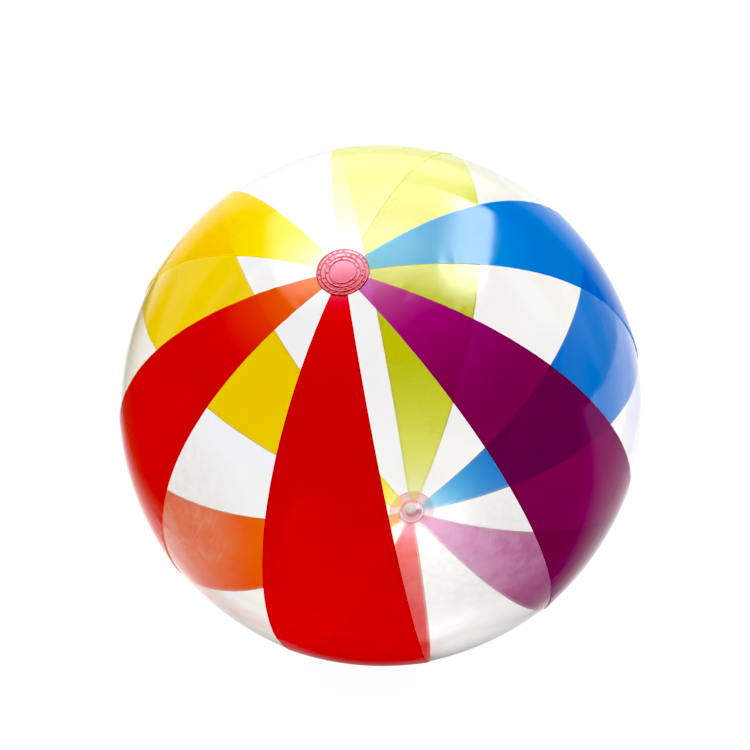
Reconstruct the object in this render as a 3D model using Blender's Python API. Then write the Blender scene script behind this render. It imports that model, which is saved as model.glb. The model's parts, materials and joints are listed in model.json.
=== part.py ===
"""An inflatable beach ball: twelve welded film gores, two pole discs and a push-in air valve.

Metres, +Z up. The ball lies on the plane z = 0, on the middle of its red gore, which its own
weight presses flat there. Its centre is straight above the origin. The polar axis leans from +Z
towards -Y, so the plain pole looks up and forwards, and the valve pole down and back.

Each piece is placed in one of two frames. The ball's frame has its origin at the ball's centre
and +Z through the plain pole; gore angles are counted from its -Y towards its +X. The valve's
frame has its origin in the outer face of the valve disc, with +Z pointing out of the ball.
"""

import math

import bmesh
import bpy
import numpy as np
from mathutils import Vector

# The inflated ball
BALL_RADIUS = 0.200  # to the seams, at the equator
POLE_FLATTENING = 0.05  # how much nearer the centre a pole lies than a seam, as a share of the radius
PANEL_FLATNESS = 0.08  # 0 is a round cross-section, 1 a straight-sided one between the seams
LEAN = math.radians(45)  # of the polar axis, from +Z towards -Y
PRESSED_IN = 0.0016  # how far the ball's own weight flattens the patch that it lies on

# The film and its lap welds
FILM = 0.00025
WELD_GAP = 0.0003  # between two faces that are welded together on the real ball
LAP = 0.0010  # how far a gore reaches past its seam, at most
MOST_LAP_ANGLE = math.radians(6)  # the same reach where the gores narrow to their tips

# The gores
GORE_COUNT = 12
GORE_ANGLE = 2 * math.pi / GORE_COUNT
GORE_TIP_RADIUS = 0.012  # of the small hole that the twelve tips leave round a pole
UNDER_DISC_RADIUS = 0.020  # a ring of points just outside the disc's rim
REST_STEP = math.radians(9)  # height of the flat patch, as an angle at the centre
STEPS_BELOW_REST = 3
STEPS_ABOVE_REST = 11

# The pole discs
DISC_RADIUS = 0.019
DISC_FILM = 0.00035
DISC_STEPS = 3

# The valve, in its own frame: radii, and heights above the disc's outer face
VALVE_SEGMENTS = 32
DISC_HOLE_RADIUS = 0.0098
FLANGE_INNER_RADIUS = 0.0095
FLANGE_OUTER_RADIUS = 0.0113
FLANGE_TOP = -0.0010
FLANGE_THICKNESS = 0.0011
STEM_RADIUS = 0.0050
STEM_BORE_RADIUS = 0.0032
STEM_MOUTH = -0.0018
STEM_FOOT = -0.0075
WEB_THICKNESS = 0.0005
WEB_TOP = -0.0013
WEB_KNEE = -0.0062  # where the straight skirt turns into the cone
PLUG_HEAD_RADIUS = 0.0052
PLUG_HEAD_THICKNESS = 0.0016
PLUG_SHANK_RADIUS = 0.0029
PLUG_TIP_RADIUS = 0.0023
PLUG_REACH = 0.0040  # how deep the shank reaches below the stem's mouth
STRAP_WIDTH = 0.0034
STRAP_THICKNESS = 0.0006
HINGE_OFFSET = 0.0080  # of the strap's living hinge, from the stem's axis
KNUCKLE_RADIUS = 0.0006
LUG_THICKNESS = 0.0006
FLAP_RADIUS = 0.0039
FLAP_THICKNESS = 0.0005
FLAP_HINGE_OFFSET = 0.0044
FLAP_TAB_WIDTH = 0.0024

CLEARANCE = 0.0003  # between neighbouring mouldings
MERGE_DISTANCE = 1e-7
SMOOTH_BELOW = math.radians(35)

CLEAR_FILM = (0.95, 0.96, 0.97)
GORE_COLOURS = {
    "red_gore": (0.75, 0.01, 0.01),
    "purple_gore": (0.32, 0.01, 0.14),
    "blue_gore": (0.00, 0.22, 0.70),
    "lime_gore": (0.75, 0.85, 0.12),
    "yellow_gore": (0.98, 0.72, 0.01),
    "orange_gore": (0.90, 0.16, 0.02),
}
DISC_PINK = (0.80, 0.22, 0.30)
VALVE_PINK = (0.85, 0.45, 0.42)
VALVE_PALE = (0.90, 0.82, 0.80)


def clear_scene():
    for thing in list(bpy.data.objects):
        bpy.data.objects.remove(thing)


def plastic(name, colour, roughness, alpha):
    """A soft vinyl of this colour, see-through where alpha is under 1."""
    material = bpy.data.materials.new(name)
    material.use_nodes = True
    shader = material.node_tree.nodes["Principled BSDF"]
    shader.inputs["Base Color"].default_value = (*colour, 1)
    shader.inputs["Roughness"].default_value = roughness
    shader.inputs["Metallic"].default_value = 0
    shader.inputs["Alpha"].default_value = alpha
    return material


def add_object(name, shape, material, parent):
    """Turns a bmesh into a smooth-shaded object under parent."""
    mesh = bpy.data.meshes.new(name)
    shape.to_mesh(mesh)
    shape.free()
    mesh.shade_smooth()
    mesh.set_sharp_from_angle(angle=SMOOTH_BELOW)
    mesh.materials.append(material)
    thing = bpy.data.objects.new(name, mesh)
    bpy.context.scene.collection.objects.link(thing)
    thing.parent = parent
    return thing


def add_frame(name, parent=None, location=(0, 0, 0), turn_about_x=0.0):
    """An empty that other objects are placed under."""
    frame = bpy.data.objects.new(name, None)
    frame.location = location
    frame.rotation_euler = (turn_about_x, 0, 0)
    frame.parent = parent
    bpy.context.scene.collection.objects.link(frame)
    return frame


# The ball's surface


def pole_height(latitude):
    """Height above the equator of the film at this latitude."""
    rise = math.sin(latitude)
    return BALL_RADIUS * rise * (1 - POLE_FLATTENING * rise**2)


def panel_factor(angle):
    """How much nearer the axis than a seam the film lies at this angle round the ball."""
    from_middle = (angle + GORE_ANGLE / 2) % GORE_ANGLE - GORE_ANGLE / 2
    straight = math.cos(GORE_ANGLE / 2) / math.cos(from_middle)
    return 1 + PANEL_FLATNESS * (straight - 1)


def film_point(latitude, angle, offset=0.0):
    """A point of the film's middle surface in the ball's frame, moved out by offset."""
    rise = math.sin(latitude)
    radius = BALL_RADIUS * math.cos(latitude) * panel_factor(angle)
    outwards = Vector((math.sin(angle), -math.cos(angle), 0))
    along = Vector((-rise, math.cos(latitude) * (1 - 3 * POLE_FLATTENING * rise**2)))
    normal = outwards * along.y - Vector((0, 0, along.x))
    return outwards * radius + Vector((0, 0, pole_height(latitude))) + normal.normalized() * offset


def latitude_at(radius):
    """The latitude at which a seam is this far from the polar axis."""
    return math.acos(radius / BALL_RADIUS)


COLOURED_SKIN = WELD_GAP / 2 + FILM  # offset of a coloured gore's outer face
CLEAR_SKIN = -WELD_GAP / 2  # offset of a clear gore's outer face
DISC_SKIN = COLOURED_SKIN + WELD_GAP + DISC_FILM  # offset of a disc's outer face
UP_IN_BALL = Vector((0, math.sin(LEAN), math.cos(LEAN)))  # world +Z in the ball's frame


def rest_latitude():
    """The latitude of the point that would be lowest if nothing pressed the film flat."""
    candidates = np.radians(np.linspace(-60, -30, 3001))
    depths = [film_point(latitude, 0.0).dot(UP_IN_BALL) for latitude in candidates]
    return float(candidates[int(np.argmin(depths))])


REST_LATITUDE = rest_latitude()
CENTRE_HEIGHT = -film_point(REST_LATITUDE, 0.0, COLOURED_SKIN).dot(UP_IN_BALL) - PRESSED_IN


def pressed_flat(point):
    """Lifts a point of the film that would lie below the resting plane onto it."""
    height = CENTRE_HEIGHT + point.dot(UP_IN_BALL)
    return point - UP_IN_BALL * min(height, 0.0)


def gore_latitudes():
    """The rings of points that every gore has, from the valve pole to the plain pole."""
    tip = latitude_at(GORE_TIP_RADIUS)
    under_disc = latitude_at(UNDER_DISC_RADIUS)
    patch_bottom = REST_LATITUDE - REST_STEP / 2
    patch_top = REST_LATITUDE + REST_STEP / 2
    below = np.linspace(-under_disc, patch_bottom, STEPS_BELOW_REST + 1)
    above = np.linspace(patch_top, under_disc, STEPS_ABOVE_REST + 1)
    return [-tip, *below, *above, tip]


def gore_angles(latitude):
    """The columns of points across a gore, counted from its middle."""
    half = GORE_ANGLE / 2
    lap = min(LAP / (BALL_RADIUS * math.cos(latitude)), MOST_LAP_ANGLE)
    right = [half / 3, half - lap, half, half + lap]
    return [-angle for angle in reversed(right)] + right


def gore_shape(middle, skin):
    """The outer face of one gore as a grid; the Solidify modifier gives it its thickness."""
    shape = bmesh.new()
    rows = []
    for latitude in gore_latitudes():
        points = [film_point(latitude, middle + angle, skin) for angle in gore_angles(latitude)]
        rows.append([shape.verts.new(pressed_flat(point)) for point in points])
    for lower, upper in zip(rows, rows[1:]):
        for column in range(len(lower) - 1):
            corners = (lower[column], lower[column + 1], upper[column + 1], upper[column])
            shape.faces.new(corners)
    return shape


def add_gore(name, index, skin, material, ball):
    gore = add_object(name, gore_shape(index * GORE_ANGLE, skin), material, ball)
    wall = gore.modifiers.new("film", "SOLIDIFY")
    wall.thickness = FILM
    wall.offset = -1
    return gore


def add_gores(ball):
    """Coloured gores lie on the outside of the lap welds, and clear gores on the inside."""
    for step, (name, colour) in enumerate(GORE_COLOURS.items()):
        tinted = plastic(name + "_film", colour, 0.2, 0.8)
        add_gore(name, 2 * step, COLOURED_SKIN, tinted, ball)
        clear_name = f"clear_gore_{step + 1}"
        clear = plastic(clear_name + "_film", CLEAR_FILM, 0.15, 0.3)
        add_gore(clear_name, 2 * step + 1, CLEAR_SKIN, clear, ball)


# Turned and extruded shapes


def turned(outline, segments, closed=True):
    """Spins an outline of (radius, height) points round +Z. An open one ends on the axis."""
    shape = bmesh.new()
    points = [shape.verts.new((radius, 0, height)) for radius, height in outline]
    pairs = list(zip(points, points[1:]))
    if closed:
        pairs.append((points[-1], points[0]))
    edges = [shape.edges.new(pair) for pair in pairs]
    bmesh.ops.spin(
        shape,
        geom=points + edges,
        cent=(0, 0, 0),
        axis=(0, 0, 1),
        angle=2 * math.pi,
        steps=segments,
        use_merge=True,
    )
    bmesh.ops.remove_doubles(shape, verts=shape.verts, dist=MERGE_DISTANCE)
    bmesh.ops.recalc_face_normals(shape, faces=shape.faces)
    return shape


def extruded(outline, thickness):
    """A prism between two copies of a closed 3-D outline, thickness apart along its normal."""
    shape = bmesh.new()
    face = shape.faces.new([shape.verts.new(point) for point in outline])
    face.normal_update()
    step = face.normal * thickness
    made = bmesh.ops.extrude_face_region(shape, geom=[face])["geom"]
    moved = [item for item in made if isinstance(item, bmesh.types.BMVert)]
    bmesh.ops.translate(shape, verts=moved, vec=step)
    bmesh.ops.recalc_face_normals(shape, faces=shape.faces)
    return shape


def arc(radius, start, end, steps):
    """Points (x, y) on a circle round the origin, from one angle to another."""
    angles = np.linspace(start, end, steps + 1)
    return [(radius * math.cos(angle), radius * math.sin(angle)) for angle in angles]


# The pole discs


def disc_height(radius, offset):
    """Distance from the ball's centre of a disc's face at this radius."""
    return pole_height(latitude_at(radius)) + offset


def disc_face(hole_radius, offset):
    radii = np.linspace(hole_radius, DISC_RADIUS, DISC_STEPS + 1)
    return [(float(radius), disc_height(radius, offset)) for radius in radii]


def add_top_disc(ball):
    outer = disc_face(0.0, DISC_SKIN)
    inner = disc_face(0.0, DISC_SKIN - DISC_FILM)
    shape = turned(outer + inner[::-1], VALVE_SEGMENTS, closed=False)
    add_object("top_disc", shape, plastic("top_disc_film", DISC_PINK, 0.3, 0.9), ball)


def add_valve_disc(valve):
    """The disc at the valve pole, with the hole that the valve is pulled out through."""
    origin = disc_height(0.0, DISC_SKIN)
    outer = disc_face(DISC_HOLE_RADIUS, DISC_SKIN - origin)
    inner = disc_face(DISC_HOLE_RADIUS, DISC_SKIN - DISC_FILM - origin)
    shape = turned(outer + inner[::-1], VALVE_SEGMENTS)
    add_object("valve_disc", shape, plastic("valve_disc_film", DISC_PINK, 0.3, 0.9), valve)


# The valve


def add_flange(valve):
    """The ring of the moulding that is welded to the inside of the valve disc."""
    bottom = FLANGE_TOP - FLANGE_THICKNESS
    outline = [
        (FLANGE_OUTER_RADIUS, FLANGE_TOP),
        (FLANGE_OUTER_RADIUS, bottom),
        (FLANGE_INNER_RADIUS, bottom),
        (FLANGE_INNER_RADIUS, FLANGE_TOP),
    ]
    soft = plastic("flange_vinyl", VALVE_PINK, 0.35, 1.0)
    add_object("valve_flange", turned(outline, VALVE_SEGMENTS), soft, valve)


def add_web(valve):
    """The thin skirt from the flange to the stem's foot, which turns inside out with the stem."""
    outer = FLANGE_INNER_RADIUS - CLEARANCE
    foot = STEM_RADIUS + CLEARANCE
    outline = [
        (outer, WEB_TOP),
        (outer, WEB_KNEE),
        (foot + WEB_THICKNESS, STEM_FOOT),
        (foot, STEM_FOOT),
        (foot, STEM_FOOT + WEB_THICKNESS),
        (outer - WEB_THICKNESS, WEB_KNEE + WEB_THICKNESS / 2),
        (outer - WEB_THICKNESS, WEB_TOP),
    ]
    soft = plastic("web_vinyl", VALVE_PINK, 0.35, 1.0)
    add_object("valve_web", turned(outline, VALVE_SEGMENTS), soft, valve)


def lug_shape():
    """The stem's half of the strap: a tongue from the stem's wall to below the hinge."""
    top = STEM_MOUTH - KNUCKLE_RADIUS - CLEARANCE
    inner = (STEM_RADIUS + STEM_BORE_RADIUS) / 2
    outer = HINGE_OFFSET + KNUCKLE_RADIUS / 2
    side = STRAP_WIDTH / 2
    corners = [(inner, -side, top), (outer, -side, top), (outer, side, top), (inner, side, top)]
    return extruded(corners[::-1], LUG_THICKNESS)


def add_stem(slide):
    """The air tube, with the strap's lug joined to its wall."""
    outline = [
        (STEM_RADIUS, STEM_MOUTH),
        (STEM_RADIUS, STEM_FOOT),
        (STEM_BORE_RADIUS, STEM_FOOT),
        (STEM_BORE_RADIUS, STEM_MOUTH),
    ]
    soft = plastic("stem_vinyl", VALVE_PALE, 0.3, 1.0)
    stem = add_object("valve_stem", turned(outline, VALVE_SEGMENTS), soft, slide)
    lug = add_object("strap_lug", lug_shape(), soft, slide)
    lug.hide_render = True
    lug.display_type = "WIRE"
    join = stem.modifiers.new("lug", "BOOLEAN")
    join.operation = "UNION"
    join.solver = "EXACT"
    join.object = lug


def add_plug(pivot):
    """The stopper: a flat head on the stem's mouth and a tapered shank in its bore."""
    head_bottom = CLEARANCE
    head_top = CLEARANCE + PLUG_HEAD_THICKNESS
    rounding = PLUG_HEAD_THICKNESS / 4
    outline = [
        (0, head_top),
        (PLUG_HEAD_RADIUS - rounding, head_top),
        (PLUG_HEAD_RADIUS, head_top - rounding),
        (PLUG_HEAD_RADIUS, head_bottom),
        (PLUG_SHANK_RADIUS, head_bottom),
        (PLUG_TIP_RADIUS, -PLUG_REACH),
        (0, -PLUG_REACH),
    ]
    shape = turned(outline, VALVE_SEGMENTS, closed=False)
    bmesh.ops.translate(shape, verts=shape.verts, vec=(-HINGE_OFFSET, 0, 0))
    add_object("plug", shape, plastic("plug_vinyl", VALVE_PALE, 0.3, 1.0), pivot)


def add_strap(pivot):
    """The plug's half of the strap: a tongue from its head to the knuckle of the living hinge."""
    start = PLUG_HEAD_RADIUS + CLEARANCE - HINGE_OFFSET
    bottom = CLEARANCE
    top = CLEARANCE + STRAP_THICKNESS
    meets_knuckle = math.asin(bottom / KNUCKLE_RADIUS)
    knuckle = arc(KNUCKLE_RADIUS, math.pi - meets_knuckle, 2 * math.pi, 8)
    profile = [(start, top), (start, bottom), *knuckle, (KNUCKLE_RADIUS / 2, top)]
    side = STRAP_WIDTH / 2
    shape = extruded([(across, -side, height) for across, height in profile], -STRAP_WIDTH)
    add_object("plug_strap", shape, plastic("strap_vinyl", VALVE_PALE, 0.3, 1.0), pivot)


def add_flap(pivot):
    """The check flap: a thin disc over the stem's foot, hinged at a tab on its edge."""
    half_tab = math.asin(FLAP_TAB_WIDTH / 2 / FLAP_RADIUS)
    rim = arc(FLAP_RADIUS, half_tab - math.pi, math.pi - half_tab, 24)
    rim = [(across + FLAP_HINGE_OFFSET, along) for across, along in rim]
    tab_end = -CLEARANCE
    tab = [(tab_end, FLAP_TAB_WIDTH / 2), (tab_end, -FLAP_TAB_WIDTH / 2)]
    top = FLAP_THICKNESS / 2
    outline = [(across, along, top) for across, along in rim + tab]
    shape = extruded(outline, -FLAP_THICKNESS)
    add_object("check_flap", shape, plastic("flap_vinyl", VALVE_PALE, 0.3, 1.0), pivot)


def add_valve(ball):
    """The whole valve, pushed in, with a frame on the axis of each thing that moves."""
    valve = add_frame("valve_frame", ball, (0, 0, -disc_height(0.0, DISC_SKIN)), math.pi)
    add_valve_disc(valve)
    add_flange(valve)
    add_web(valve)
    slide = add_frame("slide_frame", valve)
    add_stem(slide)
    plug_pivot = add_frame("plug_pivot", slide, (HINGE_OFFSET, 0, STEM_MOUTH))
    add_plug(plug_pivot)
    add_strap(plug_pivot)
    flap_middle = STEM_FOOT - CLEARANCE - FLAP_THICKNESS / 2
    add_flap(add_frame("flap_pivot", slide, (-FLAP_HINGE_OFFSET, 0, flap_middle)))


def main():
    clear_scene()
    ball = add_frame("ball_frame", None, (0, 0, CENTRE_HEIGHT), LEAN)
    add_gores(ball)
    add_top_disc(ball)
    add_valve(ball)


main()
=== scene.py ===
"""The looks of an inflatable beach ball of tinted and clear vinyl film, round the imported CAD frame.

Every length is in metres. The film pieces replace the CAD gores and discs: the same surface, with
fine steps, puckers along the welds and embossing on the discs, and see-through materials.
"""

import json
import math

import bmesh
import bpy
import numpy as np
from mathutils import Matrix, Vector


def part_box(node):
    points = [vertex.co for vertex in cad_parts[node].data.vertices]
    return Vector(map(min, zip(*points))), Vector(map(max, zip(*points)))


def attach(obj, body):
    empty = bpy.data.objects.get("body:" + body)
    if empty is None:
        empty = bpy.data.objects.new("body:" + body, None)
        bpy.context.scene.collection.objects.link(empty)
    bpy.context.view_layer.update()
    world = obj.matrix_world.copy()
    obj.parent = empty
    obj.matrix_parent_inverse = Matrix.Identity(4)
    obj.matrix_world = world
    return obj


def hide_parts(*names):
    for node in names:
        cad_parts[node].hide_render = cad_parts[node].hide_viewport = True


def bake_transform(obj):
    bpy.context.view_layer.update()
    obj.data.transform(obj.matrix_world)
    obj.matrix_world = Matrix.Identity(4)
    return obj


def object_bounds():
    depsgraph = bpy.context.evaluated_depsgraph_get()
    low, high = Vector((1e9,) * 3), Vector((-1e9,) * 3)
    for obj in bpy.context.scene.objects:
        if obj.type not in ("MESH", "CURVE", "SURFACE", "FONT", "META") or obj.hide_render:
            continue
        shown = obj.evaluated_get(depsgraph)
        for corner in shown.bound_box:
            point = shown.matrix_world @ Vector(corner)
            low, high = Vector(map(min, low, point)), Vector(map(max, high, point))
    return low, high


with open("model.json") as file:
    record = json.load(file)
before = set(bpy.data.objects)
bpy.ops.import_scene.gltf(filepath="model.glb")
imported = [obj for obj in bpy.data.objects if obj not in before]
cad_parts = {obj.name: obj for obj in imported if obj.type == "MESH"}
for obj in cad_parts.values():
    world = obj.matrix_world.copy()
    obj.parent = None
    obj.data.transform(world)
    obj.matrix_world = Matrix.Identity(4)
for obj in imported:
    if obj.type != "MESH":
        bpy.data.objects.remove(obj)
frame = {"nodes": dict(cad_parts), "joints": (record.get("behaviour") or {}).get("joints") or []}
cad_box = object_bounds()

# The ball, as the CAD has it
BALL_RADIUS = 0.200
POLE_FLATTENING = 0.05
PANEL_FLATNESS = 0.08
GORE_COUNT = 12
GORE_ANGLE = 2 * math.pi / GORE_COUNT
FILM = 0.00025
DISC_FILM = 0.00035
WELD_GAP = 0.0003
LAP = 0.0010
MOST_LAP_ANGLE = math.radians(6)
TOP_TIP_RADIUS = 0.0172
VALVE_TIP_RADIUS = 0.0102
DISC_RADIUS = 0.019
DISC_HOLE_RADIUS = 0.0098

# Fineness of the meshes
GORE_ROWS = 220
GORE_COLUMNS = 34
DISC_RINGS = 84
DISC_COLUMNS = 360
VALVE_COLUMNS = 120
PINHOLE = 0.00004  # radius at which a round shape ends short of its axis

# The film's small shapes
SEAM_ROUNDING = 0.0022  # radius of the rounded ridge along a seam
PUCKER_HEIGHT = 0.00045
PUCKER_REACH = 0.009 / 1.6  # from the weld to where the wrinkles are down to a third
PUCKER_SPACING = 0.0065
PUCKER_GROUPS = 24  # along a weld, each puckered more or less strongly
SMOOTH_POLE = 0.02  # distance from the poles' axis inside which the film has no wrinkles
WRINKLED_FROM = 0.05  # and outside which it has them in full
PANEL_WAVE = 0.0004
WAVE_COUNT = 6
WAVE_RATE = 28  # radians per metre
SEAM_REACH = 0.36  # a little more than half of a weld's length
CONTACT_SOFTNESS = 0.0002  # height over which the film bends onto the floor
SEED = 12
# How many degrees each weld runs off its even place, from the one between red and the first clear gore
SEAM_DRIFT = (0.8, 1.8, 1.8, 0.4, -0.6, 0.0, 0.0, 1.2, 1.2, 0.9, 0.0, 0.0)

COLOURED_GORES = ("red_gore", "purple_gore", "blue_gore", "lime_gore", "yellow_gore", "orange_gore")
CLEAR_GORES = tuple(f"clear_gore_{number}" for number in range(1, 7))


# Places, from the frame


def box_centre(node):
    low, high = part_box(node)
    return (Vector(low) + Vector(high)) / 2


def joint(name):
    return next(item for item in frame["joints"] if item["name"] == name)


OUT_OF_VALVE = Vector(joint("valve_slide")["axis"]).normalized()
UP_THE_POLE = -OUT_OF_VALVE
BALL_CENTRE = (box_centre("top_disc") + box_centre("valve_disc")) / 2
FLOOR_HEIGHT = cad_box[0][2]
BALL_TO_WORLD = Matrix(
    (
        (1, 0, 0),
        (0, UP_THE_POLE.z, UP_THE_POLE.y),
        (0, -UP_THE_POLE.y, UP_THE_POLE.z),
    )
)


def to_world(points):
    """Turns points of the ball's polar frame into world points. Works on arrays of any shape."""
    turn = np.array(BALL_TO_WORLD)
    return points @ turn.T + np.array(BALL_CENTRE)


# The ball's surface, on arrays


def pole_height(latitude):
    """Height above the equator, along the poles' axis, which is a little shorter than a sphere's."""
    rise = np.sin(latitude)
    return BALL_RADIUS * rise * (1 - POLE_FLATTENING * rise**2)


def latitude_at(radius):
    """The latitude at this distance from the poles' axis."""
    return math.acos(radius / BALL_RADIUS)


class SeamPuckers:
    """Small wrinkles that run across each weld, and slow waves over the panels."""

    def __init__(self):
        draw = np.random.default_rng(SEED)
        self.knots = np.arange(-SEAM_REACH, SEAM_REACH, PUCKER_SPACING / 2)
        shape = (GORE_COUNT, len(self.knots))
        self.waves = draw.uniform(-1, 1, shape)
        self.strength = draw.uniform(0, 1, (GORE_COUNT, PUCKER_GROUPS)) ** 2.2
        self.strength_knots = np.linspace(-SEAM_REACH, SEAM_REACH, PUCKER_GROUPS)
        self.phases = draw.uniform(0, 2 * math.pi, (WAVE_COUNT, 3))
        self.directions = draw.normal(size=(WAVE_COUNT, 3))

    def along_seam(self, seam, along):
        """Height of the wrinkles at this distance along a seam, from -1 to 1."""
        result = np.zeros_like(along)
        for index in range(GORE_COUNT):
            here = seam == index
            wave = np.interp(along[here], self.knots, self.waves[index])
            strength = np.interp(along[here], self.strength_knots, self.strength[index])
            result[here] = wave * strength
        return result

    def over_panels(self, points):
        """Slow unevenness of blown-up film, from about -1 to 1."""
        total = np.zeros(points.shape[:-1])
        for phase, direction in zip(self.phases, self.directions):
            total += np.sin(points @ direction * WAVE_RATE + phase[0])
        return total / len(self.phases)


puckers = SeamPuckers()


def drifted(angle):
    """Angles with the welds' drift added, for angles that count the welds as even."""
    welds = (np.arange(GORE_COUNT) + 0.5) * GORE_ANGLE
    return angle + np.radians(np.interp(angle, welds, SEAM_DRIFT, period=2 * math.pi))


def surface(latitude, angle, offset):
    """World points of the film at arrays of latitudes and angles, moved out by offset."""
    ring = BALL_RADIUS * np.cos(latitude)
    seam = np.floor(angle / GORE_ANGLE).astype(int) % GORE_COUNT
    from_seam = (angle / GORE_ANGLE - np.floor(angle / GORE_ANGLE) - 0.5) * GORE_ANGLE
    to_seam = np.sqrt((from_seam * ring) ** 2 + SEAM_ROUNDING**2) - SEAM_ROUNDING
    from_middle = GORE_ANGLE / 2 - np.minimum(to_seam / np.maximum(ring, 1e-4), GORE_ANGLE / 2)
    straight = math.cos(GORE_ANGLE / 2) / np.cos(from_middle)
    radius = ring * (1 + PANEL_FLATNESS * (straight - 1))
    turn = drifted(angle)
    outwards = np.stack([np.sin(turn), -np.cos(turn), np.zeros_like(turn)], -1)
    rise = np.sin(latitude)
    slope = np.cos(latitude) * (1 - 3 * POLE_FLATTENING * rise**2)
    normal = outwards * slope[..., None]
    normal[..., 2] = rise
    normal /= np.linalg.norm(normal, axis=-1, keepdims=True)
    middle = outwards * radius[..., None]
    middle[..., 2] = pole_height(latitude)
    along = BALL_RADIUS * latitude
    fade = np.clip((ring - SMOOTH_POLE) / (WRINKLED_FROM - SMOOTH_POLE), 0, 1)
    wrinkle = puckers.along_seam(seam, along) * np.exp(-to_seam / PUCKER_REACH) * fade
    wave = puckers.over_panels(middle) * fade
    height = offset + PUCKER_HEIGHT * wrinkle + PANEL_WAVE * wave
    return to_world(middle + normal * np.asarray(height)[..., None])


def pressed_flat(points, thickness_above):
    """Lifts the points that would lie under the floor onto it, softly at the patch's rim."""
    low = FLOOR_HEIGHT + thickness_above
    above = points[..., 2] - low
    lifted = points.copy()
    lifted[..., 2] = low + (above + np.sqrt(above**2 + CONTACT_SOFTNESS**2)) / 2 - CONTACT_SOFTNESS / 8
    lifted[..., 2] = np.maximum(lifted[..., 2], low)
    return lifted


# The camera, and the zones of painted sheen and scratches

CAMERA_AZIMUTH = math.radians(11.3)
CAMERA_ELEVATION = math.radians(16.5)
CAMERA_DISTANCE = 1.58
CAMERA_LENS = 98.3
BALL_IN_FRAME = (0.0078, 0.0390)  # how far right and down of the middle the ball sits, in frame widths
SENSOR = 36.0
FORWARD = Vector((-math.sin(CAMERA_AZIMUTH), math.cos(CAMERA_AZIMUTH), 0))
RIGHTWARD = Vector((math.cos(CAMERA_AZIMUTH), math.sin(CAMERA_AZIMUTH), 0))
# Zones where the film is rougher and scratched and carries a painted whitish sheen that stands in for
# # light reflected near the ball's lower outline: right, forwards and up from the ball's centre, then the
# # reach of each zone in those directions. One lies beside the spot that the ball rests on, one on its
# left.
SHEEN_AND_SCUFF_ZONES = (
    ((0.110, 0.076, -0.168), (0.14, 0.10, 0.10)),
    ((-0.165, 0.042, -0.112), (0.08, 0.11, 0.11)),
)


# Meshes

SHARP_ANGLE = math.radians(40)


def shell(name, outer, inner, uv, closed_round=False):
    """A closed film between two grids of points, with a UV map made from uv.

    The grids are joined along their edges, or only at their first and last rows where they
    close round.
    """
    rows, columns = outer.shape[:2]
    points = np.concatenate([outer.reshape(-1, 3), inner.reshape(-1, 3)])
    index = np.arange(rows * columns).reshape(rows, columns)
    if closed_round:
        index = np.concatenate([index, index[:, :1]], 1)
    below = index + rows * columns

    def quads(a, b, c, d):
        return np.stack([a, b, c, d], -1).reshape(-1, 4)

    faces = [
        quads(index[:-1, :-1], index[:-1, 1:], index[1:, 1:], index[1:, :-1]),
        quads(below[:-1, :-1], below[1:, :-1], below[1:, 1:], below[:-1, 1:]),
        quads(index[0, 1:], index[0, :-1], below[0, :-1], below[0, 1:]),
        quads(index[-1, :-1], index[-1, 1:], below[-1, 1:], below[-1, :-1]),
    ]
    if not closed_round:
        faces.append(quads(index[:-1, 0], index[1:, 0], below[1:, 0], below[:-1, 0]))
        faces.append(quads(index[1:, -1], index[:-1, -1], below[:-1, -1], below[1:, -1]))
    faces = np.concatenate(faces)
    mesh = bpy.data.meshes.new(name)
    mesh.from_pydata(points.tolist(), [], faces.tolist())
    mesh.validate()
    layer = mesh.uv_layers.new(name="film")
    corner_points = np.empty(len(mesh.loops), np.int64)
    mesh.loops.foreach_get("vertex_index", corner_points)
    both = np.concatenate([uv.reshape(-1, 2), uv.reshape(-1, 2)])
    layer.data.foreach_set("uv", both[corner_points].astype(np.float32).ravel())
    mesh.shade_smooth()
    mesh.set_sharp_from_angle(angle=SHARP_ANGLE)
    piece = bpy.data.objects.new(name, mesh)
    bpy.context.scene.collection.objects.link(piece)
    return piece


def gore_columns(latitude):
    """Angles across a gore from its middle, closer together beside its two seams."""
    ring = BALL_RADIUS * math.cos(latitude)
    lap = min(LAP / ring, MOST_LAP_ANGLE)
    spread = np.linspace(-1, 1, GORE_COLUMNS)
    spread = np.sign(spread) * (1 - (1 - np.abs(spread)) ** 1.5)
    return spread * (GORE_ANGLE / 2 + lap)


def gore_film(name, index, outer_offset):
    """One gore, with UVs of its distance from its nearer edge and along its middle."""
    top = latitude_at(TOP_TIP_RADIUS)
    bottom = -latitude_at(VALVE_TIP_RADIUS)
    latitudes = np.linspace(bottom, top, GORE_ROWS)
    across = np.stack([gore_columns(latitude) for latitude in latitudes])
    latitude = np.repeat(latitudes[:, None], GORE_COLUMNS, 1)
    angle = across + index * GORE_ANGLE
    outer = pressed_flat(surface(latitude, angle, outer_offset), 0.0)
    inner = pressed_flat(surface(latitude, angle, outer_offset - FILM), FILM)
    ring = BALL_RADIUS * np.cos(latitude)
    to_edge = (across[:, -1:] - np.abs(across)) * ring
    uv = np.stack([to_edge, BALL_RADIUS * latitude], -1)
    return shell(name, outer, inner, uv)


# Materials


def nodes_of(name):
    material = bpy.data.materials.new(name)
    material.use_nodes = True
    material.node_tree.nodes.clear()
    return material, material.node_tree


def add(tree, kind, **settings):
    """A node with its properties and its inputs set; a socket as a value makes a link."""
    node = tree.nodes.new("ShaderNode" + kind)
    for key, value in settings.items():
        if hasattr(node, key):
            setattr(node, key, value)
            continue
        socket = node.inputs[int(key[1:])] if key[1:].isdigit() else node.inputs[key.replace("_", " ")]
        if isinstance(value, bpy.types.NodeSocket):
            tree.links.new(value, socket)
        else:
            socket.default_value = value
    return node


def maths(tree, operation, first, second=0.0, third=0.0, clamp=False):
    node = add(tree, "Math", operation=operation, use_clamp=clamp, i0=first, i1=second, i2=third)
    return node.outputs[0]


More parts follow.
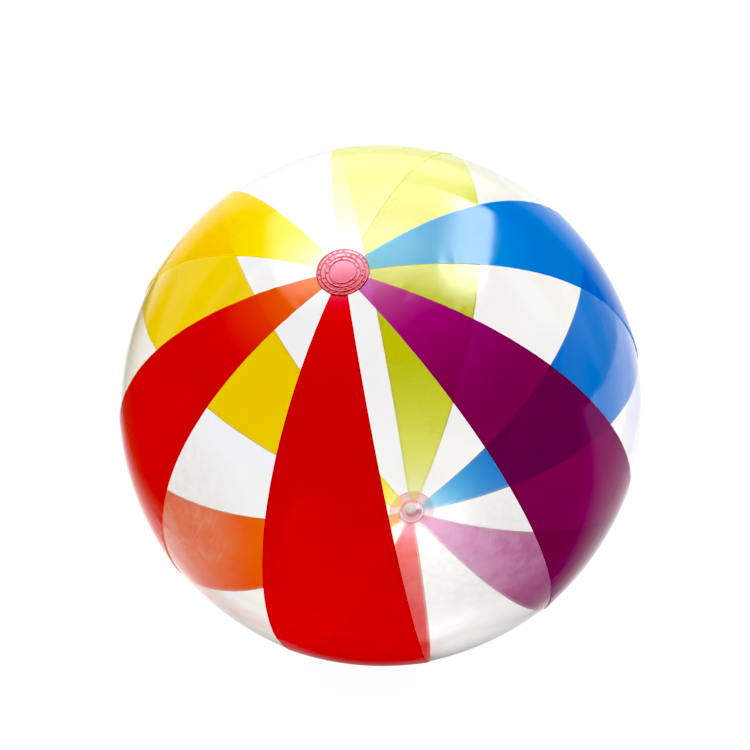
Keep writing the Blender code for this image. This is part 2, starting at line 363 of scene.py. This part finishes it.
def ramp(tree, value, low, high, out_low=0.0, out_high=1.0):
    """A smooth step from out_low, where value is low, to out_high, where it is high."""
    node = add(tree, "MapRange", interpolation_type="SMOOTHSTEP", Value=value)
    node.inputs["From Min"].default_value = low
    node.inputs["From Max"].default_value = high
    node.inputs["To Min"].default_value = out_low
    node.inputs["To Max"].default_value = out_high
    return node.outputs[0]


def scratches(tree, place):
    """Short fine lines in a few directions."""
    layers = []
    for turn, fineness, threshold in SCRATCHES:
        mapping = add(tree, "Mapping", Vector=place)
        mapping.inputs["Rotation"].default_value = turn
        mapping.inputs["Scale"].default_value = (
            fineness,
            fineness / SCRATCH_STRETCH,
            fineness / SCRATCH_STRETCH,
        )
        noise = add(tree, "TexNoise", Vector=mapping.outputs[0], Scale=1.0, Detail=2.0, Roughness=0.5)
        layers.append(ramp(tree, noise.outputs["Fac"], threshold, threshold + 0.05))
    most = maths(tree, "MAXIMUM", layers[0], layers[1])
    return maths(tree, "MAXIMUM", most, layers[2])


def painted_sheen_and_scuffs(tree, place):
    """1 in the middle of the zones of painted sheen and scratches, 0 outside them."""
    zones = []
    for (right, forward, up), reach in SHEEN_AND_SCUFF_ZONES:
        centre = BALL_CENTRE + right * RIGHTWARD + forward * FORWARD + Vector((0, 0, up))
        zone = add(tree, "Mapping", vector_type="TEXTURE", Vector=place, Location=centre)
        zone.inputs["Rotation"].default_value = (0, 0, CAMERA_AZIMUTH)
        zone.inputs["Scale"].default_value = reach
        away = add(tree, "VectorMath", operation="LENGTH", i0=zone.outputs[0]).outputs["Value"]
        zones.append(ramp(tree, away, 1.0, 0.3))
    mottle = add(tree, "TexNoise", Vector=place, Scale=45.0, Detail=5.0, Roughness=0.65)
    mottle = ramp(tree, mottle.outputs["Fac"], 0.3, 0.7, 0.65, 1.0)
    return maths(tree, "MULTIPLY", maths(tree, "MAXIMUM", *zones), mottle)


def pigment_depth(tree, along, paled_by_glare_at_top, top_fade, thin_at_valve, valve_fade):
    """How deep the colour is: 1 over the gore's middle, less towards its two tips; the paling at the top
    tips is painted glare.
    """
    depths = []
    for side, thin, reach in ((-1.0, paled_by_glare_at_top, top_fade), (1.0, thin_at_valve, valve_fade)):
        from_pole = maths(tree, "MULTIPLY_ADD", along, side, POLE_DISTANCE)
        depth = add(tree, "MapRange", Value=from_pole)
        depth.inputs["From Min"].default_value = FADE_START
        depth.inputs["From Max"].default_value = reach
        depth.inputs["To Min"].default_value = thin
        depths.append(depth.outputs[0])
    return maths(tree, "MULTIPLY", *depths)


def film_mist(tree, veil, cloudy, sheen_and_scuff, lines, weld):
    """The share of the light that one face scatters."""
    per_face = 1 - (1 - veil) ** 0.5
    mist = maths(tree, "MULTIPLY_ADD", cloudy, CLOUD_VEIL * per_face, EVEN_VEIL * per_face)
    # painted sheen: the film scatters more whitish light in the sheen zones
    mist = maths(tree, "MULTIPLY_ADD", sheen_and_scuff, PAINTED_SHEEN_VEIL, mist)
    mist = maths(tree, "MULTIPLY_ADD", lines, SCRATCH_VEIL, mist)
    return maths(tree, "MULTIPLY_ADD", weld, WELD_VEIL, mist, clamp=True)


def film_body(tree, tint, pigment, depth, mist, sheen_and_scuff):
    """What the film lets through and what it scatters, without its gloss.

    Light meets two faces, so each face's tint is the square root of the film's. depth, where it is
    given, makes both colours deeper.
    """
    clear_colour = (*[channel**0.5 for channel in tint], 1)
    milk_colour = (*pigment, 1)
    if depth is not None:
        clear_colour = add(tree, "Gamma", Color=clear_colour, Gamma=depth).outputs[0]
        milk_colour = add(tree, "Gamma", Color=milk_colour, Gamma=depth).outputs[0]
    # painted sheen: the scattered colour turns whiter in the sheen zones
    sheen_whitening = maths(tree, "MULTIPLY", sheen_and_scuff, PAINTED_SHEEN_WHITENING)
    milk_colour = add(tree, "Mix", data_type="RGBA", i0=sheen_whitening, i6=milk_colour, i7=PAINTED_SHEEN_WHITE)
    milk_colour = milk_colour.outputs[2]
    clear = add(tree, "BsdfTransparent", Color=clear_colour)
    front = add(tree, "BsdfDiffuse", Color=milk_colour)
    through = add(tree, "BsdfTranslucent", Color=milk_colour)
    milk = add(tree, "MixShader", i0=THROUGH_SHARE, i1=front.outputs[0], i2=through.outputs[0])
    return add(tree, "MixShader", i0=mist, i1=clear.outputs[0], i2=milk.outputs[0])


def film_gloss(tree, place, cloudy, sheen_and_scuff, roughness):
    """The film's mirroring surface, with faint wrinkles and a fine grain."""
    wrinkle = add(tree, "TexNoise", Vector=place, Scale=55.0, Detail=2.0).outputs["Fac"]
    grain = add(tree, "TexNoise", Vector=place, Scale=700.0, Detail=3.0, Roughness=0.6).outputs["Fac"]
    rough_map = maths(tree, "MULTIPLY_ADD", cloudy, CLOUD_ROUGHNESS, roughness)
    rough_map = maths(tree, "MULTIPLY_ADD", sheen_and_scuff, SHEEN_AND_SCUFF_ROUGHNESS, rough_map)
    bump = add(tree, "Bump", Strength=0.12, Distance=0.0006, Height=wrinkle)
    bump = add(tree, "Bump", Strength=0.1, Distance=0.00005, Height=grain, Normal=bump.outputs[0])
    gloss = add(tree, "BsdfGlossy", Roughness=rough_map, Normal=bump.outputs[0])
    gloss.inputs["Color"].default_value = (1, 1, 1, 1)
    return gloss


def film_material(name, tint, pigment, veil, fades=None, marked_and_glare_shaded=False, roughness=0.10, shine=0.04):
    """See-through vinyl film.

    tint is what one thickness of film lets through, in each colour. pigment is the colour of
    the light that it scatters, and veil is how much of the light is scattered. fades gives how
    the colour thins towards the tips, which at the top tips is painted glare. marked film has
    darker lines where it is embossed, and painted shading: deeper colour at its front, paler
    towards its back where the glare lies.
    shine is the share of light that its surface mirrors, seen straight on.
    """
    material, tree = nodes_of(name)
    place = add(tree, "TexCoord").outputs["Object"]
    uv = add(tree, "SeparateXYZ", Vector=add(tree, "UVMap", uv_map="film").outputs[0])
    weld = ramp(tree, uv.outputs[0], *WELD_EDGE)
    cloudy = add(tree, "TexNoise", Vector=place, Scale=9.0, Detail=4.0, Roughness=0.55).outputs["Fac"]
    cloudy = ramp(tree, cloudy, 0.42, 0.68)
    # painted sheen, with scratches and roughness, in the zones near the lower outline
    sheen_and_scuff = painted_sheen_and_scuffs(tree, place)
    lines = 0.0
    depth = None
    if fades:
        lines = maths(tree, "MULTIPLY", scratches(tree, place), sheen_and_scuff)
        depth = pigment_depth(tree, uv.outputs[1], *fades)
    if marked_and_glare_shaded:
        # the marks attribute holds the embossing and a painted shading, deeper at the disc's front
        marks = add(tree, "Attribute", attribute_name="marks").outputs["Fac"]
        depth = maths(tree, "MULTIPLY_ADD", marks, MARK_DEPTH, 1.0)
    mist = film_mist(tree, veil, cloudy, sheen_and_scuff, lines, weld)
    body = film_body(tree, tint, pigment, depth, mist, sheen_and_scuff)
    gloss = film_gloss(tree, place, cloudy, sheen_and_scuff, roughness)
    facing = add(tree, "LayerWeight", Blend=0.5).outputs["Facing"]
    fresnel = maths(tree, "MULTIPLY_ADD", maths(tree, "POWER", facing, RIM_POWER), 1 - shine, shine)
    shader = add(tree, "MixShader", i0=fresnel, i1=body.outputs[0], i2=gloss.outputs[0])
    output = tree.nodes.new("ShaderNodeOutputMaterial")
    tree.links.new(shader.outputs[0], output.inputs[0])
    return material


# What each film looks like: tint, pigment, veil, and how its colour fades towards its tips: how
# # pale it is at the top, which is painted glare, how far the fade reaches from the top, and the same
# # at the valve's pole
FILM_LOOKS = {
    "red_gore": ((0.70, 0.006, 0.013), (0.82, 0.004, 0.018), 0.80, (0.50, 0.05, 0.14, 0.066)),
    "purple_gore": ((0.32, 0.008, 0.12), (0.36, 0.012, 0.23), 0.80, (0.33, 0.14, 0.14, 0.20)),
    "blue_gore": ((0.016, 0.25, 0.74), (0.010, 0.32, 0.80), 0.65, (0.42, 0.15, 0.19, 0.09)),
    "lime_gore": ((0.56, 0.60, 0.012), (0.70, 0.76, 0.22), 0.42, (0.04, 0.44, 0.20, 0.14)),
    "yellow_gore": ((0.92, 0.70, 0.002), (0.98, 0.80, 0.005), 0.60, (0.03, 0.11, 0.15, 0.09)),
    "orange_gore": ((0.73, 0.034, 0.0006), (0.83, 0.06, 0.002), 0.70, (0.38, 0.115, 0.15, 0.30)),
}
CLEAR_LOOK = ((0.975, 0.975, 0.975), (0.7, 0.7, 0.7), 0.015)
RING_LOOK = ((0.97, 0.82, 0.84), (0.95, 0.74, 0.78), 0.40)
SKIRT_LOOK = ((0.94, 0.68, 0.74), (0.88, 0.56, 0.62), 0.40)
VALVE_PALE = (0.97, 0.94, 0.94)
TOP_DISC_LOOK = ((0.77, 0.09, 0.21), (0.76, 0.11, 0.23), 0.35)
VALVE_DISC_LOOK = ((0.95, 0.76, 0.80), (0.93, 0.60, 0.67), 0.28)
THROUGH_SHARE = 0.65  # of the scattered light, what goes on through the film
POLE_DISTANCE = BALL_RADIUS * math.pi / 2  # from the equator, along the latitudes that the UVs hold
FADE_START = 0.018  # distance from the pole at which a gore's colour starts to deepen
MARK_DEPTH = 3.4  # how many thicknesses of colour an embossed line adds, and the scale of the painted shading that the marks carry
RIM_POWER = 7.0  # how close to its outline the film starts to mirror like a window
WELD_EDGE = (2.2 * LAP, 1.6 * LAP)  # distances from a gore's edge between which its weld begins
# Shares of the light that a face scatters: the first two are shares of its own veil
EVEN_VEIL = 0.85
CLOUD_VEIL = 0.3
# painted sheen: extra whitish scatter in the sheen zones
PAINTED_SHEEN_VEIL = 0.26
SCRATCH_VEIL = 0.2
WELD_VEIL = 0.05
CLOUD_ROUGHNESS = 0.03
SHEEN_AND_SCUFF_ROUGHNESS = 0.2
# painted sheen: how far the scattered colour turns towards this white in the sheen zones
PAINTED_SHEEN_WHITENING = 0.6
PAINTED_SHEEN_WHITE = (0.85, 0.84, 0.85, 1)
SCRATCH_STRETCH = 22  # length of a scratch over its width
SCRATCHES = (  # turn, fineness, and the noise level above which a scratch shows
    ((0.3, 0.5, 0.2), 420.0, 0.66),
    ((1.3, 0.1, 1.1), 380.0, 0.67),
    ((0.2, 1.9, 2.2), 350.0, 0.67),
)


def build_gores():
    for step, name in enumerate(COLOURED_GORES):
        piece = gore_film("film_" + name, 2 * step, WELD_GAP / 2 + FILM)
        piece.data.materials.append(film_material(name + "_vinyl", *FILM_LOOKS[name]))
        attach(piece, "ball")
        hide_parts(name)
    clear = film_material("clear_vinyl", *CLEAR_LOOK)
    for step, name in enumerate(CLEAR_GORES):
        piece = gore_film("film_" + name, 2 * step + 1, -WELD_GAP / 2)
        piece.data.materials.append(clear)
        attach(piece, "ball")
        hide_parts(name)


# Pole discs

DISC_SKIN = WELD_GAP / 2 + FILM + WELD_GAP + DISC_FILM
# Radius of each ring, and the phase of its fainter stretches
EMBOSSED_RINGS = ((0.0096, 0.4), (0.0124, 2.1), (0.0157, 4.0), (0.0184, 5.2))
DOT_ROWS = ((0.0141, 22), (0.0110, 13), (0.0171, 27))  # radius and count
DOT_SIZE = 0.0006
LINE_WIDTH = 0.00035
EMBOSSED_HEIGHT = 0.0002
VALVE_DISC_EMBOSSING = 0.5  # next to the top disc's
PAINTED_GLARE_GRADIENT = 0.24  # painted shading: how much deeper the colour is at a disc's front than towards its back, where the glare lies, on the scale of the marks


def embossing(radius, angle):
    """The rings and the rows of plain dots between them, from 0 to 1."""
    height = np.zeros_like(radius)
    for ring, faint in EMBOSSED_RINGS:
        strength = 0.75 + 0.25 * np.sin(2 * angle + faint)
        height += strength * np.exp(-(((radius - ring) / LINE_WIDTH) ** 2))
    for ring, count in DOT_ROWS:
        pitch = 2 * math.pi / count
        along = ((angle + pitch / 2) % pitch - pitch / 2) * ring
        strength = np.clip(0.6 + 0.8 * np.sin(5 * angle + ring * 900), 0, 1)
        height += strength * np.exp(-((radius - ring) ** 2 + along**2) / DOT_SIZE**2)
    return np.clip(height, 0, 1)


def disc_film(name, hole_radius, pole):
    """A disc of film over the gore tips. pole is 1 for the plain pole and -1 for the valve's."""
    rings = np.linspace(hole_radius / DISC_RADIUS, 1.0, DISC_RINGS)
    angles = np.linspace(0, 2 * math.pi, DISC_COLUMNS, endpoint=False)
    share, angle = np.meshgrid(rings, angles, indexing="ij")
    radius = share * DISC_RADIUS
    latitude = np.arccos(np.clip(radius / BALL_RADIUS, 0, 1))
    bend = pole_height(latitude)
    wobble = 1 + 0.012 * np.sin(2 * angle + 0.7) + 0.008 * np.sin(3 * angle + 2.0)
    shown = radius * (1 + (wobble - 1) * share**4)
    marks = embossing(radius, angle) * (1 if pole > 0 else VALVE_DISC_EMBOSSING)

    def face(offset):
        x = shown * np.sin(angle)
        y = -pole * shown * np.cos(angle)
        z = pole * (bend + offset + EMBOSSED_HEIGHT * marks)
        return to_world(np.stack([x, y, z], -1))

    uv = np.stack([DISC_RADIUS - radius, radius * angle], -1)
    outer = face(DISC_SKIN)[::-1]
    inner = face(DISC_SKIN - DISC_FILM)[::-1]
    disc = shell(name, outer, inner, uv[::-1], closed_round=True)
    layer = disc.data.attributes.new("marks", "FLOAT", "POINT")
    # painted shading: the marks attribute also holds a deeper colour at the disc's front, paler towards
    # its back where the glare lies
    depth = marks + PAINTED_GLARE_GRADIENT * share * np.cos(angle)
    layer.data.foreach_set("value", np.tile(depth[::-1].ravel(), 2).astype(np.float32))
    return disc


def build_discs():
    top = disc_film("film_top_disc", PINHOLE, 1)
    top.data.materials.append(
        film_material("pink_vinyl", *TOP_DISC_LOOK, marked_and_glare_shaded=True, roughness=0.16, shine=0.07)
    )
    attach(top, "ball")
    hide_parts("top_disc")
    valve = disc_film("film_valve_disc", DISC_HOLE_RADIUS, -1)
    valve.data.materials.append(film_material("pale_pink_vinyl", *VALVE_DISC_LOOK, marked_and_glare_shaded=True))
    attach(valve, "ball")
    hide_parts("valve_disc")


# The valve, in its own frame: heights are above the valve disc's outer face, out of the ball

FLANGE_RADII = (0.0095, 0.0113)
FLANGE_MIDDLE = -0.00155
FLANGE_HALF = 0.00055
STEM_RADII = (0.0032, 0.0050)
STEM_HEIGHTS = (-0.0075, -0.0018)
WEB_OUTER = 0.0092
WEB_THICKNESS = 0.0005
WEB_TOP = -0.0013
WEB_KNEE = -0.0062
WEB_FOOT = 0.0053
WEB_SAMPLES = 40
RING_SAMPLES = 15
TUBE_SAMPLES = 24
PLUG_SAMPLES = 60
PLUG_ROUNDING = 0.0004
PLUG_RADII = (0.0023, 0.0029, 0.0052)  # tip, top of the shank, head
PLUG_HEIGHTS = (-0.0058, -0.0015, 0.0001)  # tip, under the head, top
LUG_SIZE = (0.0044, 0.0034, 0.0006)
LUG_MIDDLE = (0.0061, 0.0, -0.0030)
VALVE_FACE = BALL_CENTRE + OUT_OF_VALVE * (BALL_RADIUS * (1 - POLE_FLATTENING) + DISC_SKIN)
ACROSS_VALVE = OUT_OF_VALVE.cross(Vector((1, 0, 0)))


def valve_to_world(x, y, z):
    """World points for coordinates in the valve's frame. Works on arrays of any shape."""
    axes = (np.array((1.0, 0.0, 0.0)), np.array(ACROSS_VALVE), np.array(OUT_OF_VALVE))
    parts = [np.asarray(value)[..., None] * axis for value, axis in zip((x, y, z), axes)]
    return parts[0] + parts[1] + parts[2] + np.array(VALVE_FACE)


def turned_grid(profile):
    """World points of a profile of (radius, height) turned round the valve's axis."""
    angles = np.linspace(0, 2 * math.pi, VALVE_COLUMNS, endpoint=False)
    radius = np.array(profile)[:, :1]
    height = np.repeat(np.array(profile)[:, 1:], VALVE_COLUMNS, 1)
    return valve_to_world(radius * np.cos(angles), radius * np.sin(angles), height)


def turned_shell(name, outer, inner):
    """A closed turned piece between two profiles with the same number of points."""
    rows = len(outer)
    uv = np.full((rows, VALVE_COLUMNS, 2), 1.0)
    piece = shell(name, turned_grid(outer), turned_grid(inner), uv, closed_round=True)
    shape = bmesh.new()
    shape.from_mesh(piece.data)
    bmesh.ops.recalc_face_normals(shape, faces=shape.faces)
    shape.to_mesh(piece.data)
    shape.free()
    return piece


def sampled(points, count):
    """count points spread evenly along an open line of (radius, height) points."""
    points = np.array(points, float)
    steps = np.hypot(*np.diff(points, axis=0).T)
    along = np.concatenate([[0], np.cumsum(steps)])
    places = np.linspace(0, along[-1], count)
    return np.stack([np.interp(places, along, points[:, axis]) for axis in (0, 1)], -1)


def rounded_between(low, high, count, power):
    """Places from low to high, and a thickness share that rounds off to nearly 0 at both ends."""
    places = np.linspace(-1, 1, count)
    places = np.sin(places * math.pi / 2)
    share = (1 - 0.97 * np.abs(places) ** power) ** 0.5
    return (low + high) / 2 + places * (high - low) / 2, share


def flange_ring():
    """The moulded ring round the skirt, with softly rounded edges."""
    radius, share = rounded_between(*FLANGE_RADII, RING_SAMPLES, 4)
    upper = np.stack([radius, FLANGE_MIDDLE + FLANGE_HALF * share], -1)
    lower = np.stack([radius, FLANGE_MIDDLE - FLANGE_HALF * share], -1)
    return turned_shell("moulded_ring", upper, lower)


def stem_tube():
    """The tube to blow into, with rounded ends."""
    height, share = rounded_between(*STEM_HEIGHTS, TUBE_SAMPLES, 12)
    middle = sum(STEM_RADII) / 2
    half = (STEM_RADII[1] - STEM_RADII[0]) / 2
    outer = np.stack([middle + half * share, height], -1)
    inner = np.stack([middle - half * share, height], -1)
    return turned_shell("air_tube", outer, inner)


def rolling_skirt():
    """The thin skirt: down from the ring, round a knee and in to the foot of the stem."""
    foot = STEM_HEIGHTS[0]
    inside = WEB_OUTER - WEB_THICKNESS
    outer = [
        (WEB_OUTER, WEB_TOP),
        (WEB_OUTER, WEB_KNEE + 0.0006),
        (WEB_OUTER - 0.0006, WEB_KNEE),
        (WEB_FOOT, foot),
    ]
    inner = [
        (inside, WEB_TOP),
        (inside, WEB_KNEE + 0.0009),
        (inside - 0.0005, WEB_KNEE + 0.0005),
        (WEB_FOOT, foot + WEB_THICKNESS),
    ]
    return turned_shell("rolling_skirt", sampled(outer, WEB_SAMPLES), sampled(inner, WEB_SAMPLES))


def stopper():
    """The plug: a tapered shank under a flat head with a slightly sunk middle."""
    tip, shank, head = PLUG_RADII
    low, under, top = PLUG_HEIGHTS
    soft = PLUG_ROUNDING
    upper = [
        (PINHOLE, top - soft / 2),
        (head * 0.55, top - soft / 2),
        (head * 0.7, top),
        (head - soft, top),
        (head, top - soft),
    ]
    lower = [
        (PINHOLE, low),
        (tip - soft, low),
        (tip, low + soft),
        (shank, under),
        (head - soft / 2, under),
        (head, under + soft / 2),
    ]
    return turned_shell("stopper", sampled(upper, PLUG_SAMPLES), sampled(lower, PLUG_SAMPLES))


def strap_lug():
    """The stem's half of the strap that holds the stopper."""
    shape = bmesh.new()
    bmesh.ops.create_cube(shape, size=1.0)
    for point in shape.verts:
        x, y, z = (middle + share * size for middle, share, size in zip(LUG_MIDDLE, point.co, LUG_SIZE))
        point.co = Vector(valve_to_world(x, y, z))
    bmesh.ops.recalc_face_normals(shape, faces=shape.faces)
    bmesh.ops.bevel(shape, geom=shape.edges[:], offset=0.00018, segments=3, affect="EDGES")
    mesh = bpy.data.meshes.new("strap_lug")
    shape.to_mesh(mesh)
    shape.free()
    lug = bpy.data.objects.new("strap_lug", mesh)
    bpy.context.scene.collection.objects.link(lug)
    return lug


def soft_moulding(name, colour):
    """Thick soft vinyl: even colour with faint flow marks, and some light through it."""
    material, tree = nodes_of(name)
    place = add(tree, "TexCoord").outputs["Object"]
    flow = add(tree, "TexNoise", Vector=place, Scale=260.0, Detail=4.0, Roughness=0.55)
    pale = (*[min(1.0, channel * 1.06) for channel in colour], 1)
    dark = (*[channel * 0.88 for channel in colour], 1)
    shade = add(tree, "Mix", data_type="RGBA", i0=flow.outputs["Fac"], i6=dark, i7=pale).outputs[2]
    grain = add(tree, "TexNoise", Vector=place, Scale=2600.0, Detail=2.0).outputs["Fac"]
    bump = add(tree, "Bump", Strength=0.3, Distance=0.00004, Height=grain).outputs[0]
    skin = add(tree, "BsdfPrincipled", Base_Color=shade, Roughness=0.34, Normal=bump)
    through = add(tree, "BsdfTranslucent", Color=shade)
    both = add(tree, "MixShader", i0=0.55, i1=skin.outputs[0], i2=through.outputs[0])
    output = tree.nodes.new("ShaderNodeOutputMaterial")
    tree.links.new(both.outputs[0], output.inputs[0])
    return material


def build_valve():
    """Every piece of the valve. The strap and the flap keep the CAD's meshes."""
    pale = soft_moulding("pale_moulding", VALVE_PALE)
    ring = flange_ring()
    ring.data.materials.append(film_material("ring_vinyl", *RING_LOOK))
    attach(ring, "ball")
    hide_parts("valve_flange")
    skirt = rolling_skirt()
    skirt.data.materials.append(film_material("skirt_vinyl", *SKIRT_LOOK))
    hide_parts("valve_web")
    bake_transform(skirt)
    tube = stem_tube()
    lug = strap_lug()
    for piece in (tube, lug):
        piece.data.materials.append(pale)
        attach(piece, "stem")
    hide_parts("valve_stem")
    plug = stopper()
    plug.data.materials.append(pale)
    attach(plug, "plug")
    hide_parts("plug")
    for name in ("plug_strap", "check_flap"):
        for slot in frame["nodes"][name].material_slots:
            slot.material = pale


# Studio

SOFTBOX_HEIGHT = 1.5  # above the ball's centre
SOFTBOX_LEFT = -1.15
SOFTBOX_RIGHT = 0.93
SOFTBOX_FRONT = -1.0
SOFTBOX_BACK = 0.93
SOFTBOX_RADIANCE = 5.5
# What is added to the softbox's radiance, and the places between which each comes in
BACK_CHANGE = (-2.0, 0.05, 0.3)
RIGHT_CHANGE = (7.0, 0.35, 0.65)
DIP = (1.5, 0.1, 0.3)  # taken off right of its middle, but not at its back
FRONT_FADE = (-0.8, -0.12, 0.02)  # from, to, and what is left at the front
LEFT_FADE = (SOFTBOX_LEFT, -0.8)
# The backdrop that gloss mirrors: sines of the directions between which it fades in
BACKDROP_RADIANCE = 2.4
BACKDROP_UP = (0.30, 0.62)
BACKDROP_AHEAD = (0.2, 0.6)
BACKDROP_LEFT = (-0.6, -0.25)
BACKDROP_RIGHT = (0.45, 0.2)
ROOM_AHEAD = (0.66, 0.92)
DARK_ROOM = 0.04
# The floor in gloss: bright behind the ball and right of it, from and to in metres, and the least
FLOOR_HALF = 30.0
FLOOR_BELOW = 0.0002
FLOOR_PAINT = (0.06, 0.06, 0.06, 1)
FLOOR_GLOW = 0.97
FLOOR_BEHIND = (-0.12, 0.08, 0.03)
FLOOR_RIGHT = (-0.45, -0.2, 0.05)
ROOM_LIGHT = 0.95  # what matt surfaces get from the room, next to a white that just clips
BLACK_LEVEL = 0.035
TRANSPARENT_BOUNCES = 32


def build_camera():
    data = bpy.data.cameras.new("camera")
    data.lens = CAMERA_LENS
    data.sensor_width = SENSOR
    camera = bpy.data.objects.new("camera", data)
    bpy.context.scene.collection.objects.link(camera)
    away = Vector(
        (
            math.sin(CAMERA_AZIMUTH) * math.cos(CAMERA_ELEVATION),
            -math.cos(CAMERA_AZIMUTH) * math.cos(CAMERA_ELEVATION),
            math.sin(CAMERA_ELEVATION),
        )
    )
    camera.location = BALL_CENTRE + away * CAMERA_DISTANCE
    across, down = (share * SENSOR / CAMERA_LENS for share in BALL_IN_FRAME)
    up = away.cross(RIGHTWARD)
    aim = -away - RIGHTWARD * across + up * down
    camera.rotation_euler = aim.to_track_quat("-Z", "Y").to_euler()
    bpy.context.scene.camera = camera


def seen_in_gloss(tree, mirrored, direct):
    """direct for what the camera and matt surfaces see, mirrored for what gloss reflects."""
    in_gloss = add(tree, "LightPath").outputs["Is Glossy Ray"]
    return maths(tree, "MULTIPLY_ADD", in_gloss, maths(tree, "SUBTRACT", mirrored, direct), direct)


def seen_by_matt(tree, on_matt, direct):
    """direct for the camera, on_matt for the light that falls on matt surfaces."""
    on = add(tree, "LightPath").outputs["Is Diffuse Ray"]
    return maths(tree, "MULTIPLY_ADD", on, on_matt - direct, direct)


def bright_behind(tree, towards):
    """The direction, how far ahead it points, and the room: dark, with a bright patch behind the ball."""
    unit = add(tree, "VectorMath", operation="NORMALIZE", i0=towards).outputs[0]
    ahead = add(tree, "VectorMath", operation="DOT_PRODUCT", i0=unit, i1=FORWARD).outputs["Value"]
    return unit, ahead, ramp(tree, ahead, *ROOM_AHEAD, DARK_ROOM, 1.0)


def build_world():
    """Even white to look at; gloss mirrors a dark room with a bright backdrop behind the ball."""
    world = bpy.data.worlds.new("world")
    world.use_nodes = True
    tree = world.node_tree
    tree.nodes.clear()
    towards = add(tree, "TexCoord").outputs["Generated"]
    unit, ahead, room = bright_behind(tree, towards)
    up = add(tree, "SeparateXYZ", Vector=unit).outputs[2]
    right = add(tree, "VectorMath", operation="DOT_PRODUCT", i0=unit, i1=RIGHTWARD).outputs["Value"]
    backdrop = maths(tree, "MULTIPLY", ramp(tree, up, *BACKDROP_UP), ramp(tree, ahead, *BACKDROP_AHEAD))
    backdrop = maths(tree, "MULTIPLY", backdrop, ramp(tree, right, *BACKDROP_LEFT))
    backdrop = maths(tree, "MULTIPLY", backdrop, ramp(tree, right, *BACKDROP_RIGHT))
    room = maths(tree, "MULTIPLY_ADD", backdrop, BACKDROP_RADIANCE, room)
    direct = seen_by_matt(tree, ROOM_LIGHT, 1.0)
    background = add(tree, "Background", Strength=seen_in_gloss(tree, room, direct))
    background.inputs[0].default_value = (1, 1, 1, 1)
    output = tree.nodes.new("ShaderNodeOutputWorld")
    tree.links.new(background.outputs[0], output.inputs[0])
    bpy.context.scene.world = world


def one_sided(tree, shader):
    """Lets rays that come from behind a face through."""
    clear = add(tree, "BsdfTransparent")
    behind = add(tree, "NewGeometry").outputs["Backfacing"]
    both = add(tree, "MixShader", i0=behind, i1=shader, i2=clear.outputs[0])
    output = tree.nodes.new("ShaderNodeOutputMaterial")
    tree.links.new(both.outputs[0], output.inputs[0])


def softbox_strength(tree, across, deep):
    """Fades out to the left and the front, brightest along its right side, weaker at its back."""
    change, near, far = BACK_CHANGE
    back = ramp(tree, deep, near, far)
    strength = maths(tree, "MULTIPLY_ADD", back, change, SOFTBOX_RADIANCE)
    change, near, far = RIGHT_CHANGE
    strength = maths(tree, "ADD", strength, ramp(tree, across, near, far, 0.0, change))
    change, near, far = DIP
    not_back = maths(tree, "SUBTRACT", 1.0, back)
    dip = maths(tree, "MULTIPLY", ramp(tree, across, near, far, 0.0, change), not_back)
    strength = maths(tree, "SUBTRACT", strength, dip)
    near, far, least = FRONT_FADE
    strength = maths(tree, "MULTIPLY", strength, ramp(tree, deep, near, far, least, 1.0))
    return maths(tree, "MULTIPLY", strength, ramp(tree, across, *LEFT_FADE))


def build_softbox():
    """A large lamp above the ball that shines down only."""
    mesh = bpy.data.meshes.new("softbox")
    corners = [
        (SOFTBOX_LEFT, SOFTBOX_FRONT),
        (SOFTBOX_LEFT, SOFTBOX_BACK),
        (SOFTBOX_RIGHT, SOFTBOX_BACK),
        (SOFTBOX_RIGHT, SOFTBOX_FRONT),
    ]
    mesh.from_pydata([(x, y, 0) for x, y in corners], [], [(0, 1, 2, 3)])
    box = bpy.data.objects.new("softbox", mesh)
    box.location = BALL_CENTRE + Vector((0, 0, SOFTBOX_HEIGHT))
    box.rotation_euler = (0, 0, CAMERA_AZIMUTH)
    bpy.context.scene.collection.objects.link(box)
    material, tree = nodes_of("softbox_glow")
    place = add(tree, "SeparateXYZ", Vector=add(tree, "TexCoord").outputs["Object"])
    strength = softbox_strength(tree, place.outputs[0], place.outputs[1])
    glow = add(tree, "Emission", Color=(1, 1, 1, 1), Strength=strength)
    one_sided(tree, glow.outputs[0])
    mesh.materials.append(material)


def build_floor():
    """A white floor that keeps only a trace of the ball's shadow."""
    mesh = bpy.data.meshes.new("floor")
    half = FLOOR_HALF
    corners = [(-half, -half), (half, -half), (half, half), (-half, half)]
    mesh.from_pydata([(x, y, FLOOR_HEIGHT - FLOOR_BELOW) for x, y in corners], [], [(0, 1, 2, 3)])
    floor = bpy.data.objects.new("floor", mesh)
    bpy.context.scene.collection.objects.link(floor)
    material, tree = nodes_of("floor_paint")
    diffuse = add(tree, "BsdfDiffuse", Color=FLOOR_PAINT)
    place = add(tree, "TexCoord").outputs["Object"]
    behind = add(tree, "VectorMath", operation="DOT_PRODUCT", i0=place, i1=FORWARD)
    lit = ramp(tree, behind.outputs["Value"], *FLOOR_BEHIND, 1.0)
    side = add(tree, "VectorMath", operation="DOT_PRODUCT", i0=place, i1=RIGHTWARD + 0.3 * FORWARD)
    lit = maths(tree, "MULTIPLY", lit, ramp(tree, side.outputs["Value"], *FLOOR_RIGHT, 1.0))
    glow = add(tree, "Emission", Color=(1, 1, 1, 1), Strength=seen_in_gloss(tree, lit, FLOOR_GLOW))
    both = tree.nodes.new("ShaderNodeAddShader")
    tree.links.new(diffuse.outputs[0], both.inputs[0])
    tree.links.new(glow.outputs[0], both.inputs[1])
    one_sided(tree, both.outputs[0])
    mesh.materials.append(material)


def build_studio():
    build_camera()
    build_world()
    build_softbox()
    build_floor()
    scene = bpy.context.scene
    view = scene.view_settings
    view.view_transform = "Standard"
    view.use_curve_mapping = True
    view.curve_mapping.black_level = (BLACK_LEVEL, BLACK_LEVEL, BLACK_LEVEL)
    view.curve_mapping.update()
    scene.cycles.transparent_max_bounces = TRANSPARENT_BOUNCES


build_gores()
build_discs()
build_valve()
build_studio()
